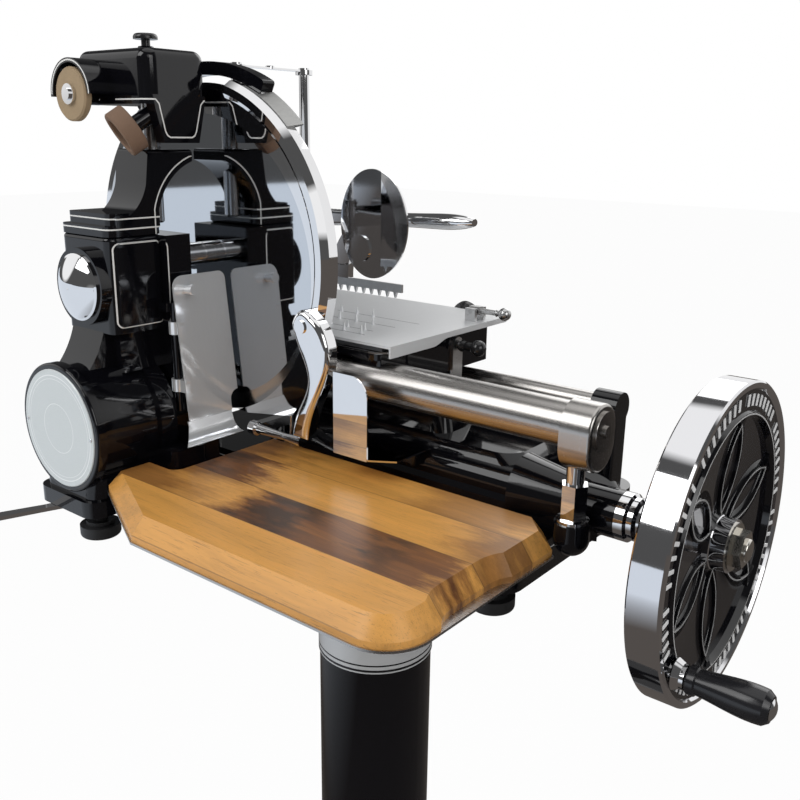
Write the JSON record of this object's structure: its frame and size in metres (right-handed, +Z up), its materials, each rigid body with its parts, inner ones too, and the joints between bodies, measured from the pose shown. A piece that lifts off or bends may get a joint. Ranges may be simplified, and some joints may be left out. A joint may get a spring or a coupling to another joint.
{
  "type": "hand crank meat slicer",
  "caption": "Hand-cranked flywheel meat slicer on a round pedestal: upright round blade in a chrome guard, sliding meat table with press, sharpener, wooden board and flower-pattern flywheel.",
  "frame": {"origin": "on the floor, on the axis of the pedestal", "axes": "+Z up, +X towards the flywheel, +Y away from the operator"},
  "size_m": [0.7581, 0.48, 1.214],
  "materials": {
    "black_enamel": "gloss",
    "chrome": "mirror polish",
    "blade_steel": "polished",
    "steel": "satin",
    "aluminium": "satin",
    "walnut": "oiled",
    "rubber": "matt",
    "black_plastic": "gloss",
    "stone": "matt",
    "brass": "polished"
  },
  "bodies": {
    "frame": {"pedestal_base": "black_enamel", "pedestal_column": "black_enamel", "pedestal_band": "chrome", "pedestal_plate": "black_enamel", "base": "black_enamel", "foot_front_left": "rubber", "foot_front_right": "rubber", "foot_back_left": "rubber", "foot_back_right": "rubber", "column": "black_enamel", "badge_plate": "chrome", "dome": "chrome", "arm": "black_enamel", "guard_ring": "chrome", "guard_cover": "chrome", "cover_bracket": "black_enamel", "guard_bridge": "black_enamel", "guard_flap": "steel", "guard_bar": "chrome", "end_plate": "chrome", "rail_tube": "steel", "rear_rail": "steel", "rail_end": "steel", "rail_post": "chrome", "board": "walnut", "tray": "black_enamel"},
    "slice_lever": {"slice_lever": "chrome"},
    "blade": {"blade": "blade_steel", "blade_shaft": "chrome", "hub_cap": "chrome"},
    "guard_lever": {"guard_lever": "chrome"},
    "deflector": {"deflector": "aluminium"},
    "flywheel": {"flywheel": "black_enamel", "wheel_nut": "brass", "drive_shaft": "chrome", "shaft_collar": "chrome", "crank_spindle": "chrome"},
    "crank_grip": {"crank_grip": "black_plastic"},
    "carriage": {"carriage": "black_enamel", "front_shelf": "chrome", "lock_strap": "steel"},
    "lock_knob": {"lock_knob": "black_plastic"},
    "table": {"table": "aluminium", "table_edge": "black_enamel", "lever_bracket": "steel", "feed_bearing": "steel", "press_posts": "chrome"},
    "table_lever": {"table_lever": "steel"},
    "feed_knob": {"feed_knob": "black_plastic"},
    "press": {"press_arm": "chrome", "press_jaw": "steel", "press_shield": "chrome"},
    "sharpener": {"sharpener_post": "steel", "sharpener_head": "black_enamel", "stone_screws": "chrome"},
    "grind_stone": {"grind_stone": "stone"},
    "cup_stone": {"cup_stone": "stone"},
    "push_knob": {"push_knob": "black_plastic"}
  },
  "joints": [
    {"name": "flywheel_turn", "type": "hinge", "parent": "frame", "child": "flywheel", "pos_m": [0.239, 0.0293, 0.833], "axis": [1, 0, 0], "continuous": true},
    {"name": "grip_spin", "type": "hinge", "parent": "flywheel", "child": "crank_grip", "pos_m": [0.365, -0.05738, 0.76528], "axis": [1, 0, 0], "continuous": true},
    {"name": "blade_spin", "type": "hinge", "parent": "frame", "child": "blade", "pos_m": [-0.195, -0.07, 1.014], "axis": [0, 1, 0], "continuous": true},
    {"name": "slice_lever_swing", "type": "hinge", "parent": "frame", "child": "slice_lever", "pos_m": [-0.245, -0.168, 0.776], "axis": [0, 0, 1], "range_deg": [-25, 25]},
    {"name": "guard_lever_swing", "type": "hinge", "parent": "frame", "child": "guard_lever", "pos_m": [-0.04514, -0.045, 0.9624], "axis": [0, 1, 0], "range_deg": [0, 35]},
    {"name": "deflector_swing", "type": "hinge", "parent": "frame", "child": "deflector", "pos_m": [-0.173, -0.093, 0.92], "axis": [0, 0, 1], "range_deg": [-40, 0]},
    {"name": "carriage_slide", "type": "slide", "parent": "frame", "child": "carriage", "axis": [1, 0, 0], "range_m": [-0.015, 0.165]},
    {"name": "lock_pull", "type": "slide", "parent": "carriage", "child": "lock_knob", "axis": [1, 0, 0], "range_m": [0, 0.006], "stiffness_N_per_m": 400},
    {"name": "table_feed", "type": "slide", "parent": "carriage", "child": "table", "axis": [0, 1, 0], "range_m": [0, 0.06]},
    {"name": "feed_knob_turn", "type": "hinge", "parent": "table", "child": "feed_knob", "pos_m": [-0.039, 0.184, 0.938], "axis": [0, 1, 0], "range_deg": [0, 1440]},
    {"name": "table_lever_lift", "type": "hinge", "parent": "table", "child": "table_lever", "pos_m": [0.011, 0.142, 0.958], "axis": [0, -1, 0], "range_deg": [0, 60]},
    {"name": "press_slide", "type": "slide", "parent": "table", "child": "press", "axis": [0, 0, 1], "range_m": [-0.013, 0.12]},
    {"name": "sharpener_lift", "type": "slide", "parent": "frame", "child": "sharpener", "axis": [0, 0, 1], "range_m": [0, 0.045]},
    {"name": "grind_stone_spin", "type": "hinge", "parent": "sharpener", "child": "grind_stone", "pos_m": [-0.247, -0.134, 1.16], "axis": [0, 1, 0], "continuous": true},
    {"name": "cup_stone_spin", "type": "hinge", "parent": "sharpener", "child": "cup_stone", "pos_m": [-0.194, -0.118, 1.129], "axis": [-0.3522, -0.7547, -0.5535], "continuous": true},
    {"name": "push_knob_press", "type": "slide", "parent": "sharpener", "child": "push_knob", "axis": [0, 0, -1], "range_m": [0, 0.004], "stiffness_N_per_m": 500}
  ],
  "couplings": [
    {"joint": "blade_spin", "follows": "flywheel_turn", "ratio": 3},
    {"joint": "feed_knob_turn", "follows": "table_feed", "rad_per_m": 418.88}
  ]
}
